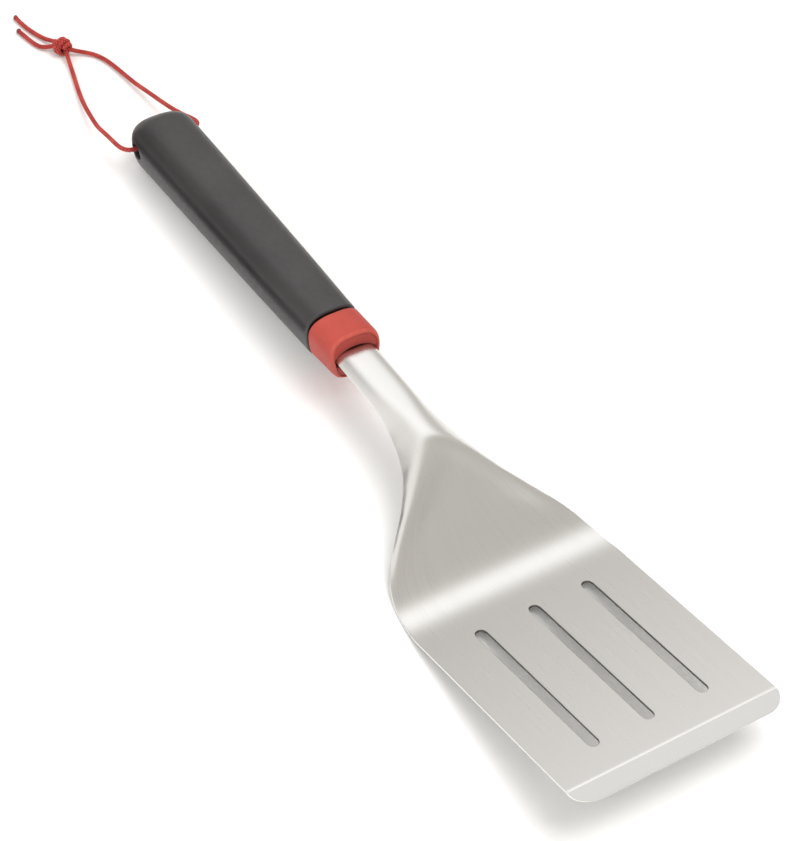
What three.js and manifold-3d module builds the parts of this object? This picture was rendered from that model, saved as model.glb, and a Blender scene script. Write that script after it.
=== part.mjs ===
// Grill spatula: a one-piece stamped steel head with a slotted blade, a moulded red
// collar, a soft-touch handle over a hard core, and a braided hanging loop.
// Millimetres, +Z up, +X from the handle's butt to the blade's front edge. The tool lies as
// it does on a table: on the bend at the blade's heel and on the underside of the butt.

import * as THREE from 'three';
import { mergeVertices } from 'three/addons/utils/BufferGeometryUtils.js';
import Module from 'manifold-3d';

const wasm = await Module();
wasm.setup();

// ---- driving dimensions ----
const LENGTH = 413;            // front edge to the end of the handle
const BEVEL_LENGTH = 7.1;      // sloping strip along the front edge
const BLADE_WIDTH = 100;
const SHEET = 1.2;             // steel thickness
const EDGE_SHEET = 0.7;        // steel thickness at the front edge
const FAR_CORNER = 8;          // width of the rounded front corner at the +Y side
const NEAR_CORNER = 13;        // and at the -Y side
const BLADE_TILT = 12;         // degrees, blade to the table
const BEVEL_TILT = -18;        // degrees, front strip to the table
const HEEL_BACK = 114.4;       // lowest line of the heel, behind the bevel line
const HEEL_RADIUS = 50;        // inside radius of the heel bend
const PANEL_TILT = 40;         // degrees, sloping panel to the table
const FLANGE = 2.8;            // height of the side rolls over the panel

const SLOT_WIDTH = 4.95;
const SLOT_FRONT = 14.4;       // front end of the slots, along the blade
const SLOT_REAR = 94.1;
const SLOT_PITCH = 26.14;

const COLLAR_FRONT = 226.6;    // distances behind the bevel line
const COLLAR_REAR = 246.8;
const GRIP_FRONT = 248.2;
const GRIP_REAR = LENGTH - BEVEL_LENGTH;
const DOME = 13;               // length of the rounded butt
const GRIP_WALL = 3;
const TANG_END = 335;
const GAP = 0.3;               // between pieces that touch

const BORE_BACK = 394;         // cross bore of the hanging loop
const BORE_HEIGHT = 16;
const BORE_RADIUS = 3.8;
const CORD = 2.2;              // cord diameter

const BEVEL_X = LENGTH / 2 - BEVEL_LENGTH;
const atBack = (back) => BEVEL_X - back;
const rad = THREE.MathUtils.degToRad;
const clamp01 = (t) => Math.min(1, Math.max(0, t));
const smooth = (t) => clamp01(t) ** 2 * (3 - 2 * clamp01(t));
const mix = (a, b, t) => a + (b - a) * t;

// A smooth line through [position, value] pairs, without overshoot.
function curveThrough(points) {
  const slope = (i) => (points[i + 1][1] - points[i][1]) / (points[i + 1][0] - points[i][0]);
  const tangent = points.map((_, i) => {
    if (i === 0) return slope(0);
    if (i === points.length - 1) return slope(i - 1);
    const [before, after] = [slope(i - 1), slope(i)];
    return before * after <= 0 ? 0 : (2 * before * after) / (before + after);
  });
  return (x) => {
    if (x <= points[0][0]) return points[0][1];
    if (x >= points.at(-1)[0]) return points.at(-1)[1];
    const i = points.findIndex((p) => p[0] > x) - 1;
    const width = points[i + 1][0] - points[i][0];
    const t = (x - points[i][0]) / width;
    return (2 * t ** 3 - 3 * t ** 2 + 1) * points[i][1] + (t ** 3 - 2 * t ** 2 + t) * width * tangent[i]
      + (3 * t ** 2 - 2 * t ** 3) * points[i + 1][1] + (t ** 3 - t ** 2) * width * tangent[i + 1];
  };
}

// ---- solids from rings and booleans ----
// Rings of equal length are skinned one to the next. A fan closes a round end; a sheet's
// end is closed by a strip from its upper to its lower side.
function skin(rings, { sheetEnds = false } = {}) {
  const count = rings[0].length;
  const points = rings.flat();
  const triangles = [];
  for (let r = 0; r + 1 < rings.length; r++) {
    for (let i = 0; i < count; i++) {
      const [a, b] = [r * count + i, r * count + ((i + 1) % count)];
      triangles.push([a, b, b + count], [a, b + count, a + count]);
    }
  }
  for (const [r, turn] of [[0, 1], [rings.length - 1, -1]]) {
    const add = (a, b, c) => triangles.push(turn > 0 ? [a, c, b] : [a, b, c]);
    if (sheetEnds) {
      for (let i = 0; i + 1 < count / 2; i++) {
        const [a, b, c, d] = [i, i + 1, count - 2 - i, count - 1 - i].map((k) => r * count + k);
        add(a, b, c);
        add(a, c, d);
      }
    } else {
      const centre = rings[r].reduce((sum, p) => sum.map((v, k) => v + p[k] / count), [0, 0, 0]);
      points.push(centre);
      for (let i = 0; i < count; i++) {
        add(r * count + i, r * count + ((i + 1) % count), points.length - 1);
      }
    }
  }
  const geometry = new THREE.BufferGeometry();
  geometry.setAttribute('position', new THREE.Float32BufferAttribute(points.flat(), 3));
  const insideOut = signedVolume(points, triangles) < 0;
  geometry.setIndex(triangles.flatMap((t) => (insideOut ? [...t].reverse() : t)));
  return geometry;
}

function signedVolume(points, triangles) {
  return triangles.reduce((sum, t) => {
    const [a, b, c] = t.map((i) => new THREE.Vector3(...points[i]));
    return sum + a.dot(b.cross(c)) / 6;
  }, 0);
}

function toSolid(geometry) {
  const bare = geometry.clone();
  bare.deleteAttribute('normal');
  bare.deleteAttribute('uv');
  const merged = mergeVertices(bare, 1e-4);
  return new wasm.Manifold(new wasm.Mesh({
    numProp: 3,
    vertProperties: new Float32Array(merged.attributes.position.array),
    triVerts: new Uint32Array(merged.index.array),
  }));
}

function toGeometry(solid) {
  const mesh = solid.getMesh();
  const geometry = new THREE.BufferGeometry();
  geometry.setAttribute('position', new THREE.BufferAttribute(new Float32Array(mesh.vertProperties), 3));
  geometry.setIndex(new THREE.BufferAttribute(new Uint32Array(mesh.triVerts), 1));
  return geometry;
}

function cut(body, ...tools) {
  return toGeometry(tools.reduce((solid, tool) => solid.subtract(toSolid(tool)), toSolid(body)));
}

// ---- the head's surface ----
const heelFront = HEEL_BACK - HEEL_RADIUS * Math.sin(rad(BLADE_TILT));
const heelRear = HEEL_BACK + HEEL_RADIUS * Math.sin(rad(PANEL_TILT));
const heelLift = (tilt) => SHEET + HEEL_RADIUS * (1 - Math.cos(rad(tilt)));
const BEVEL_HEIGHT = heelLift(BLADE_TILT) + heelFront * Math.tan(rad(BLADE_TILT));

// Blade, heel bend and sloping panel along the middle.
function panelHeight(back) {
  if (back < 0) return BEVEL_HEIGHT - back * Math.tan(rad(BEVEL_TILT));
  if (back < heelFront) return BEVEL_HEIGHT - back * Math.tan(rad(BLADE_TILT));
  if (back > heelRear) return heelLift(PANEL_TILT) + (back - heelRear) * Math.tan(rad(PANEL_TILT));
  return SHEET + HEEL_RADIUS - Math.sqrt(HEEL_RADIUS ** 2 - (back - HEEL_BACK) ** 2);
}

const shoulderWidth = curveThrough([[101, 50], [113.8, 48.6], [123.7, 46.2], [130.5, 43.2], [138.5, 37.7],
  [145.5, 31.4], [151.9, 25.5], [158.8, 20.5], [166.4, 16.5], [177, 13.2], [190, 11], [205, 10.2],
  [236, 10], [252, 8], [TANG_END, 7]]);
const rimHeight = curveThrough([[130, 3.7], [138.5, 6.8], [145.5, 11.4], [151.9, 15.8], [158.8, 19.4],
  [166.4, 22.3], [177, 24], [190, 24.4], [205, 24.6], [232, 24.3], [258, 23.4], [TANG_END, 18.6]]);
const ridgeHeight = curveThrough([[160, 31.4], [177, 31], [210, 29.9], [232, 29.1], [258, 26],
  [TANG_END, 20.4]]);

// The blade's half width on one side; its rounded corner is as long as the front strip.
function edgeWidth(back, corner) {
  if (back >= 0) return shoulderWidth(back);
  const along = clamp01(-back / BEVEL_LENGTH);
  return BLADE_WIDTH / 2 - corner * (1 - Math.sqrt(1 - along ** 2));
}

const halfWidth = (back) => edgeWidth(back, FAR_CORNER);

// The recess: a wedge with a rounded apex, opening towards the heel.
const APEX_BACK = 165;
const APEX_RADIUS = 10.6;
const WEDGE_SLOPE = 1.18;
const apexCentre = APEX_BACK - APEX_RADIUS;
const wedgeBack = apexCentre + APEX_RADIUS * Math.hypot(1, WEDGE_SLOPE) / WEDGE_SLOPE;

function recessHalfWidth(back) {
  const tangentBack = apexCentre + APEX_RADIUS * WEDGE_SLOPE / Math.hypot(1, WEDGE_SLOPE);
  if (back >= APEX_BACK) return 0;
  if (back > tangentBack) return Math.sqrt(APEX_RADIUS ** 2 - (back - apexCentre) ** 2);
  return WEDGE_SLOPE * (wedgeBack - back);
}

function recessDepthInside(back, side) {
  const line = (WEDGE_SLOPE * (wedgeBack - back) - side) / Math.hypot(1, WEDGE_SLOPE);
  const round = back > apexCentre && side < (back - apexCentre) / WEDGE_SLOPE;
  return round ? APEX_RADIUS - Math.hypot(back - apexCentre, side) : line;
}

const FILLET = 4;              // width of the step from the rolls down to the panel
const FADE_FRONT = 124;        // the side rolls fade out over this stretch
const FADE_REAR = 142;
const SEAM = { dip: 0.8, reach: 3.2 }; // softens where the rolls run into the neck's ridge
const RIM_START = 130;         // the rim leaves the panel's line behind this
const ROLL_MIN = 2.5;          // least width of a side roll
const NECK = { from: 172, over: 33 };  // the section turns from a low arch into a box here
const ARCH = { roundness: 2, rise: 1 };
const BOX = { roundness: 3, rise: 0.45 };

function crestHeight(back) {
  const rolled = panelHeight(back) + FLANGE * smooth((back - FADE_FRONT) / (FADE_REAR - FADE_FRONT));
  const [low, high] = [Math.min(rolled, ridgeHeight(back)), Math.abs(rolled - ridgeHeight(back))];
  return low - SEAM.dip * clamp01(1 - high / SEAM.reach) ** 2;
}

function topHeight(back, side) {
  const base = panelHeight(back);
  if (back < FADE_FRONT) return base;
  const rim = Math.min(crestHeight(back), back < RIM_START ? base : rimHeight(back));
  const rollWidth = halfWidth(back) - Math.min(recessHalfWidth(back), halfWidth(back) - ROLL_MIN);
  const across = clamp01((halfWidth(back) - side) / rollWidth);
  const boxy = smooth((back - NECK.from) / NECK.over);
  const roundness = mix(ARCH.roundness, BOX.roundness, boxy);
  const rise = (1 - (1 - across) ** roundness) ** mix(ARCH.rise, BOX.rise, boxy);
  const outer = mix(rim, crestHeight(back), rise);
  if (back > APEX_BACK) return outer;
  return mix(outer, Math.min(base, outer), smooth(recessDepthInside(back, side) / FILLET));
}

const ROLL_STEPS = 6;
const FLAT_STEPS = 6;
const FLAT_SHARE = 0.42;       // least share of the half width with even steps
const ROLL_SPAN = 5;           // least width with the finer steps of the roll

// Half of the places across the sheet, from the rim to the middle.
function sidesAt(back) {
  const wide = halfWidth(back);
  const inner = Math.max(wide * FLAT_SHARE, Math.min(recessHalfWidth(back), wide - ROLL_SPAN));
  const inward = (i) => 1 - Math.cos((i / ROLL_STEPS) * Math.PI / 2);
  const roll = [...Array(ROLL_STEPS)].map((_, i) => wide - (wide - inner) * inward(i));
  const flat = [...Array(FLAT_STEPS + 1)].map((_, i) => inner * (1 - i / FLAT_STEPS));
  return [...roll, ...flat];
}

// From the place before to the place after, or from the end itself at an end.
function across(list, i, pick = (entry) => entry) {
  const [before, after] = [Math.max(i - 1, 0), Math.min(i + 1, list.length - 1)];
  return new THREE.Vector3(...pick(list[after])).sub(new THREE.Vector3(...pick(list[before])));
}

function sheetSolid(stations) {
  const top = stations.map((back) => {
    const half = sidesAt(back).map((side) => [atBack(back), side, topHeight(back, side)]);
    const near = edgeWidth(back, NEAR_CORNER) / halfWidth(back);
    return [...half.map(([x, y, z]) => [x, -near * y, z]), ...half.slice(0, -1).reverse()];
  });
  const rings = top.map((row, r) => {
    const under = row.map((point, i) => {
      const normal = across(row, i).cross(across(top, r, (line) => line[i])).normalize();
      if (normal.z < 0) normal.negate();
      const thick = mix(EDGE_SHEET, SHEET, clamp01(1 + stations[r] / BEVEL_LENGTH));
      return new THREE.Vector3(...point).addScaledVector(normal, -thick).toArray();
    });
    return [...row, ...under.reverse()];
  });
  return skin(rings, { sheetEnds: true });
}

function steps(from, to, count) {
  return [...Array(count)].map((_, i) => mix(from, to, i / count));
}

const SLOT_TOOL = 10;          // depth of the tool that cuts a slot

function slotTool(side) {
  const [length, r] = [SLOT_REAR - SLOT_FRONT, SLOT_WIDTH / 2];
  const outline = new THREE.Shape();
  outline.absarc(length / 2 - r, 0, r, -Math.PI / 2, Math.PI / 2);
  outline.absarc(r - length / 2, 0, r, Math.PI / 2, Math.PI * 1.5);
  const options = { depth: SLOT_TOOL, bevelEnabled: false, curveSegments: 8 };
  const geometry = new THREE.ExtrudeGeometry(outline, options);
  geometry.translate(0, 0, -SLOT_TOOL / 2);
  geometry.rotateY(-rad(BLADE_TILT));
  const middle = (SLOT_REAR + SLOT_FRONT) / 2;
  const height = BEVEL_HEIGHT - middle * Math.sin(rad(BLADE_TILT));
  geometry.translate(atBack(middle * Math.cos(rad(BLADE_TILT))), side, height);
  return geometry;
}

function pinTool(back, radius, height) {
  const geometry = new THREE.CylinderGeometry(radius, radius, height, 16);
  geometry.rotateX(Math.PI / 2);
  geometry.translate(atBack(back), 0, tangMiddle(back));
  return geometry;
}

const tangMiddle = (back) => (rimHeight(back) + ridgeHeight(back) - SHEET) / 2;
const PIN_BACKS = { front: 272, rear: 318 };
const PIN_RADIUS = 2;
const PIN_LENGTH = 8;

const CORNER_STEPS = 6;
const NECK_MIDDLE = 200;
const TANG_START = 262;

function spatulaHead() {
  const corner = steps(0, 1, CORNER_STEPS).map((t) => -BEVEL_LENGTH * Math.cos(t * Math.PI / 2));
  const stations = [
    ...corner,
    0,
    ...steps(heelFront - 2, FADE_REAR, 14),
    ...steps(FADE_REAR, APEX_BACK + 3, 14),
    ...steps(APEX_BACK + 3, NECK_MIDDLE, 6),
    ...steps(NECK_MIDDLE, TANG_START, 5),
    TANG_START,
    TANG_END,
  ];
  const slots = [-SLOT_PITCH, 0, SLOT_PITCH].map(slotTool);
  const pinHoles = Object.values(PIN_BACKS).map((back) => pinTool(back, PIN_RADIUS + GAP, PIN_LENGTH));
  return cut(sheetSolid(stations), ...slots, ...pinHoles);
}

// ---- handle and collar sections ----
const SECTION = { squareness: 2.8, taper: 0.17 };
const SECTION_POINTS = 32;

// A rounded section, broad above and narrower below, from its top line, height and width.
function section(back, { top, height, half, squareness, taper }) {
  return [...Array(SECTION_POINTS)].map((_, i) => {
    const angle = (i / SECTION_POINTS) * Math.PI * 2;
    const power = (value) => Math.sign(value) * Math.abs(value) ** (2 / squareness);
    const [across, up] = [power(Math.cos(angle)), power(Math.sin(angle))];
    return [atBack(back), half * across * (1 + taper * up), top + (height / 2) * (up - 1)];
  });
}

// The grip's top line falls and its height grows evenly towards the butt.
const TAPER_START = 248;
const TOP_LINE = { start: 35.2, fall: 0.0378 };
const HEIGHT_LINE = { start: 26, growth: 0.0245 };

const gripTop = (back) => TOP_LINE.start - (back - TAPER_START) * TOP_LINE.fall;
const gripHeight = (back) => HEIGHT_LINE.start + (back - TAPER_START) * HEIGHT_LINE.growth;
const gripHalf = curveThrough([[230, 12.05], [248, 12.2], [285, 13.1], [325, 13.8], [375, 14.5],
  [405, 14.8]]);

const DOME_POWER = 2.3;        // fullness of the rounded butt
const DOME_END = 0.03;         // share of the section left at its very end

// Shrink towards the middle of the section over the rounded butt.
function domeScale(back, rear) {
  const t = clamp01((back - (rear - DOME)) / DOME);
  return (1 - t ** DOME_POWER) ** (1 / DOME_POWER);
}

function gripRing(back, inset, rear) {
  const scale = Math.max(domeScale(back, rear), DOME_END);
  const height = (gripHeight(back) - 2 * inset) * scale;
  const half = (gripHalf(back) - inset) * scale;
  const top = gripTop(back) - gripHeight(back) / 2 + height / 2;
  return section(back, { top, height, half, ...SECTION });
}

function gripStations(front, rear) {
  const dome = [...Array(9)].map((_, i) => rear - DOME + DOME * Math.sin((i / 8) * Math.PI / 2));
  return [front, front + 1, 285, 325, 360, ...dome];
}

function gripBody(front, rear, inset) {
  return skin(gripStations(front, rear).map((back) => gripRing(back, inset, rear)));
}

function boreTool(radius) {
  const geometry = new THREE.CylinderGeometry(radius, radius, 60, 20);
  geometry.translate(atBack(BORE_BACK), 0, BORE_HEIGHT);
  return geometry;
}

// A plain rounded plug along the handle, between two stations.
function plug(front, rear, inset) {
  return skin([front, rear].map((back) => gripRing(back, inset, GRIP_REAR)));
}

// The space the neck or tang takes: its side view, extruded across.
function tangSpace(front, rear, half) {
  const outline = new THREE.Shape();
  const backs = [front, 258, rear].filter((back) => back >= front);
  backs.forEach((back, i) => {
    const point = [atBack(back), ridgeHeight(back) + GAP];
    if (i === 0) outline.moveTo(...point);
    else outline.lineTo(...point);
  });
  [...backs].reverse().forEach((back) => outline.lineTo(atBack(back), rimHeight(back) - SHEET - GAP));
  const geometry = new THREE.ExtrudeGeometry(outline, { depth: 2 * half, bevelEnabled: false });
  geometry.rotateX(Math.PI / 2);
  geometry.translate(0, half, 0);
  return geometry;
}

function gripShell() {
  const cavity = gripBody(GRIP_FRONT - 2, GRIP_REAR - GRIP_WALL, GRIP_WALL);
  return cut(gripBody(GRIP_FRONT, GRIP_REAR, 0), cavity, boreTool(BORE_RADIUS));
}

const SPIGOT_DEPTH = 7;        // of the core in the collar
const CORE_INSET = GRIP_WALL + GAP;

function handleCore() {
  const body = gripBody(COLLAR_REAR - SPIGOT_DEPTH + GAP, GRIP_REAR - GRIP_WALL - GAP, CORE_INSET);
  const hole = (back) => pinTool(back, PIN_RADIUS + GAP, PIN_LENGTH + 2 * GAP);
  const pins = Object.values(PIN_BACKS).map(hole);
  const tang = tangSpace(COLLAR_REAR - SPIGOT_DEPTH - 1, TANG_END + GAP, halfWidth(238) + GAP);
  return cut(body, tang, boreTool(BORE_RADIUS), ...pins);
}

const COLLAR_TOP = 36.2;
const COLLAR_HEIGHT = { front: 22.8, rear: 25.3 };
const COLLAR_WIDE = 12.1;
const NOSE_HEIGHT = 21;        // the collar's front face comes furthest forward at this height
const LEAN = 5;                // and is this far behind that at its top

const collarLean = (z) => LEAN * Math.abs((z - NOSE_HEIGHT) / (COLLAR_TOP - NOSE_HEIGHT)) ** 1.5;

// The collar's front is scooped out round the neck.
function neckPassage(front, rear, grow) {
  const arch = new THREE.Shape();
  const [half, low] = [halfWidth(COLLAR_FRONT) + grow, rimHeight(COLLAR_FRONT) - SHEET - grow];
  const rise = ridgeHeight(COLLAR_FRONT) + grow - rimHeight(COLLAR_FRONT);
  arch.moveTo(-half, low);
  arch.lineTo(half, low);
  arch.lineTo(half, rimHeight(COLLAR_FRONT));
  arch.absellipse(0, rimHeight(COLLAR_FRONT), half, rise, 0, Math.PI);
  const options = { depth: rear - front, bevelEnabled: false, curveSegments: 16 };
  const geometry = new THREE.ExtrudeGeometry(arch, options);
  geometry.rotateX(Math.PI / 2);
  geometry.rotateZ(Math.PI / 2);
  geometry.translate(atBack(rear), 0, 0);
  return geometry;
}

const SCOOP_DEPTH = 5.5;
const SCOOP_GROW = 1;

function collar() {
  const length = COLLAR_REAR - COLLAR_FRONT;
  const rings = [[0, 0.9], [1, 0.97], [3, 1], [length, 1]].map(([along, scale]) => {
    const full = mix(COLLAR_HEIGHT.front, COLLAR_HEIGHT.rear, along / length);
    const height = full * scale;
    const top = mix(COLLAR_TOP, gripTop(COLLAR_REAR), along / length) - (full - height) / 2;
    const ring = section(COLLAR_FRONT + along, { top, height, half: COLLAR_WIDE * scale, ...SECTION });
    return ring.map(([x, y, z]) => [x - collarLean(z) * (1 - along / length), y, z]);
  });
  const socket = plug(COLLAR_REAR - SPIGOT_DEPTH, COLLAR_REAR + 1, GRIP_WALL);
  const passage = neckPassage(COLLAR_FRONT - 1, COLLAR_REAR, GAP);
  const scoop = neckPassage(COLLAR_FRONT - 1, COLLAR_FRONT + SCOOP_DEPTH, SCOOP_GROW);
  return cut(skin(rings), socket, passage, scoop);
}

// ---- hanging loop ----
// Each branch leaves the bore, comes down to the table and runs back to the knot.
const KNOT = { back: 488, side: -3, height: 4.1, radii: [4.9, 4.1, 4] };
const ROUTES = {
  hang_cord_left: [
    [396, 0, 15.6], [396, -8, 15.6], [396, -13.8, 15.6], [396.6, -16.7, 15.5], [399.4, -18.4, 14.9],
    [404, -18.6, 13.4], [411, -17.9, 11.1], [418.5, -17.4, 9], [426, -17, 7], [435, -15.5, 5.2],
    [444, -13.8, 3.8], [452, -11.8, 2.6], [459.4, -9.7, 2], [467, -7.4, 1.7], [474, -5.4, 2],
    [480.5, -3.8, 3], [482.8, -3.3, 3.6],
  ],
  hang_cord_right: [
    [396, 0, 15.6], [396, 8, 15.6], [396, 13.6, 15.6], [396, 17.2, 15.8], [397.8, 20.2, 15.9],
    [402.6, 21.2, 14.4], [411.8, 19.6, 11.6], [421, 18.5, 9.1], [430, 18, 6.7], [440, 17.2, 4.6],
    [449, 16, 3.1], [458, 15, 2.2], [466.9, 13.8, 1.7], [474, 12, 1.6], [479.5, 8.8, 1.7],
    [482.5, 4.6, 2.3], [484, 0.8, 3.6],
  ],
  cord_tail_upper: [
    [493.2, -4, 4], [496.6, -5.2, 2.8], [501, -6.8, 1.7], [506, -8.5, 1.5], [511.6, -10.1, 1.5],
    [516, -10.8, 1.5], [519.6, -11.2, 1.5],
  ],
  cord_tail_lower: [
    [491.4, -6.1, 3.6], [492.8, -8.8, 2.6], [495.6, -11, 1.7], [500.2, -12.6, 1.5], [505.4, -13.6, 1.5],
    [509.8, -14.4, 1.5],
  ],
};

const routePoint = ([back, side, height]) => new THREE.Vector3(atBack(back), side, height);

function circleShape(radius, sides) {
  const shape = new THREE.Shape();
  for (let i = 0; i < sides; i++) {
    const [x, y] = [Math.cos, Math.sin].map((f) => radius * f((i / sides) * 2 * Math.PI));
    if (i === 0) shape.moveTo(x, y);
    else shape.lineTo(x, y);
  }
  return shape;
}

const CORD_SIDES = 8;
const CORD_STEP = 1.4 * CORD;
const PATH_STEPS = 23;

function cordTube(name, trimStart = 0) {
  const curve = new THREE.CatmullRomCurve3(ROUTES[name].map(routePoint), false, 'centripetal');
  const start = trimStart / curve.getLength();
  const stops = [...steps(start, 1, PATH_STEPS), 1];
  const extrudePath = new THREE.CatmullRomCurve3(stops.map((t) => curve.getPointAt(t)));
  const count = Math.ceil((curve.getLength() - trimStart) / CORD_STEP);
  const options = { extrudePath, steps: count, bevelEnabled: false };
  return new THREE.ExtrudeGeometry(circleShape(CORD / 2, CORD_SIDES), options);
}

const TIP_PROFILE = [[0, 0], [1.15, 0], [1.25, 0.8], [1.05, 1.6], [0.5, 2.1], [0, 2.2]];

// A melted, slightly swollen end on each tail.
function cordTip(tail) {
  const [before, end] = ROUTES[tail].slice(-2).map(routePoint);
  const direction = end.clone().sub(before).normalize();
  const geometry = new THREE.LatheGeometry(TIP_PROFILE.map((p) => new THREE.Vector2(...p)), 10);
  const turn = new THREE.Quaternion().setFromUnitVectors(new THREE.Vector3(0, 1, 0), direction);
  geometry.applyQuaternion(turn);
  geometry.translate(...end.clone().addScaledVector(direction, GAP).toArray());
  return geometry;
}

function knot() {
  const geometry = new THREE.SphereGeometry(1, 14, 10);
  geometry.scale(...KNOT.radii);
  geometry.translate(...routePoint([KNOT.back, KNOT.side, KNOT.height]).toArray());
  return geometry;
}

// ---- the assembly ----
const FINISHES = {
  steel: { color: 0xcfccc7, roughness: 0.34, metalness: 1 },
  red: { color: 0xc9433f, roughness: 0.55, metalness: 0 },
  black: { color: 0x1b1a1b, roughness: 0.6, metalness: 0 },
  charcoal: { color: 0x4a4748, roughness: 0.62, metalness: 0 },
  cord: { color: 0xc8322f, roughness: 0.8, metalness: 0 },
  melted: { color: 0x5a1512, roughness: 0.5, metalness: 0 },
};

const tangPin = (where) => pinTool(PIN_BACKS[where], PIN_RADIUS, PIN_LENGTH);

const pieces = [
  ['spatula_head', spatulaHead(), 'steel'],
  ['collar', collar(), 'red'],
  ['handle_core', handleCore(), 'black'],
  ['grip_shell', gripShell(), 'charcoal'],
  ['tang_pin_front', tangPin('front'), 'steel'],
  ['tang_pin_rear', tangPin('rear'), 'steel'],
  ['hang_cord_left', cordTube('hang_cord_left', GAP / 2), 'cord'],
  ['hang_cord_right', cordTube('hang_cord_right', GAP / 2), 'cord'],
  ['cord_knot', knot(), 'cord'],
  ['cord_tail_upper', cordTube('cord_tail_upper'), 'cord'],
  ['cord_tail_lower', cordTube('cord_tail_lower'), 'cord'],
  ['cord_tip_upper', cordTip('cord_tail_upper'), 'melted'],
  ['cord_tip_lower', cordTip('cord_tail_lower'), 'melted'],
];

const spatula = new THREE.Group();
for (const [name, geometry, finish] of pieces) {
  const mesh = new THREE.Mesh(geometry, new THREE.MeshStandardMaterial(FINISHES[finish]));
  mesh.name = name;
  spatula.add(mesh);
}

export default spatula;
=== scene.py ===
import math

import bmesh
import bpy
import numpy as np
from mathutils import Matrix, Vector
from mathutils.geometry import delaunay_2d_cdt


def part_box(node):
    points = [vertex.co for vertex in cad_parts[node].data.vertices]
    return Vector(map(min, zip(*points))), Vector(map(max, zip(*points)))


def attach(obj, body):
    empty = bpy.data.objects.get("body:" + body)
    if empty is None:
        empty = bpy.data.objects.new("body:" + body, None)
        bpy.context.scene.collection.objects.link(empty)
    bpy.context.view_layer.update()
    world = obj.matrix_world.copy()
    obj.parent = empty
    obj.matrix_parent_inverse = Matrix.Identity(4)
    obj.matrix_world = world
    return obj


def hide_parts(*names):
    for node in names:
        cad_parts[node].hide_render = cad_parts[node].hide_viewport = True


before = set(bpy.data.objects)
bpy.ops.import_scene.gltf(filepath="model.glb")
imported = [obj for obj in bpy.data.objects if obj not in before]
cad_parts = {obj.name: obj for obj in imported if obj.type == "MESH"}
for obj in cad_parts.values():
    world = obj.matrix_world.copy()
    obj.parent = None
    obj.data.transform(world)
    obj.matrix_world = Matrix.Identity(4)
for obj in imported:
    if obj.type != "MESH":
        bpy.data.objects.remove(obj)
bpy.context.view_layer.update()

MM = 0.001

# ---- the part's driving dimensions ----
BEVEL_LENGTH = 7.1
BEVEL_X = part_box("spatula_head")[1][0] / MM - BEVEL_LENGTH
BLADE_HALF = 50.0
SHEET, EDGE_SHEET = 1.2, 0.7
FAR_CORNER, NEAR_CORNER = 8.0, 13.0
BLADE_TILT, BEVEL_TILT, PANEL_TILT = (math.radians(a) for a in (12, 18, 40))
HEEL_BACK, HEEL_RADIUS = 114.4, 50.0
FLANGE = 2.8
SLOT_HALF = 4.95 / 2
SLOT_FRONT, SLOT_REAR, SLOT_PITCH = 14.4, 94.1, 26.14
COLLAR_FRONT, COLLAR_REAR = 226.6, 246.8
GRIP_FRONT, GRIP_REAR, DOME, GRIP_WALL = 248.2, 405.9, 13.0, 3.0
TANG_END = 335.0
BORE_BACK, BORE_HEIGHT, BORE_RADIUS = 394.0, 16.0, 3.8
CORD = 2.2


def place(back, side, height):
    """A point of the shared frame, in metres."""
    return np.array([(BEVEL_X - back) * MM, side * MM, height * MM])


# ---- camera ----
AIM = Vector((-0.0062, 0.0126, 0.0))
AZIMUTH, ELEVATION, ROLL = (math.radians(a) for a in (52.04, 46.96, 7.05))
DISTANCE = 1.1469
LENS, SENSOR = 114.42, 36.0


def make_camera():
    data = bpy.data.cameras.new("camera")
    data.lens = LENS
    data.sensor_width = SENSOR
    data.sensor_fit = "AUTO"
    data.clip_start = 0.01
    data.clip_end = 50
    camera = bpy.data.objects.new("camera", data)
    flat = math.cos(ELEVATION)
    back = Vector((math.sin(AZIMUTH) * flat, -math.cos(AZIMUTH) * flat, math.sin(ELEVATION)))
    level = Vector((math.cos(AZIMUTH), math.sin(AZIMUTH), 0))
    right = level * math.cos(ROLL) + back.cross(level) * math.sin(ROLL)
    axes = Matrix((right, back.cross(right), back)).transposed().to_4x4()
    camera.matrix_world = Matrix.Translation(AIM + back * DISTANCE) @ axes
    bpy.context.scene.collection.objects.link(camera)
    bpy.context.scene.camera = camera


make_camera()

# ---- small tools ----


def clamp01(t):
    return np.clip(t, 0.0, 1.0)


def smooth(t):
    return clamp01(t) ** 2 * (3 - 2 * clamp01(t))


def mix(a, b, t):
    return a + (b - a) * t


def unit(v):
    return v / np.maximum(np.linalg.norm(v, axis=-1, keepdims=True), 1e-12)


def curve_through(pairs):
    """A smooth line through (position, value) pairs, without overshoot."""
    xs, ys = np.array(pairs, float).T
    slope = np.diff(ys) / np.diff(xs)
    product = slope[:-1] * slope[1:]
    total = slope[:-1] + slope[1:]
    inner = np.where(product > 0, 2 * product / np.where(product > 0, total, 1), 0)
    tangent = np.concatenate([slope[:1], inner, slope[-1:]])

    def value(x):
        x = np.clip(x, xs[0], xs[-1])
        i = np.clip(np.searchsorted(xs, x, side="right") - 1, 0, len(xs) - 2)
        width = xs[i + 1] - xs[i]
        t = (x - xs[i]) / width
        ends = (2 * t**3 - 3 * t**2 + 1) * ys[i] + (3 * t**2 - 2 * t**3) * ys[i + 1]
        bends = (t**3 - 2 * t**2 + t) * tangent[i] + (t**3 - t**2) * tangent[i + 1]
        return ends + bends * width

    return value


def new_object(name, data):
    made = bpy.data.objects.new(name, data)
    bpy.context.scene.collection.objects.link(made)
    return made


def new_mesh(name, points, faces):
    mesh = bpy.data.meshes.new(name)
    mesh.from_pydata([tuple(p) for p in points], [], [tuple(map(int, f)) for f in faces])
    return mesh


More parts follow.
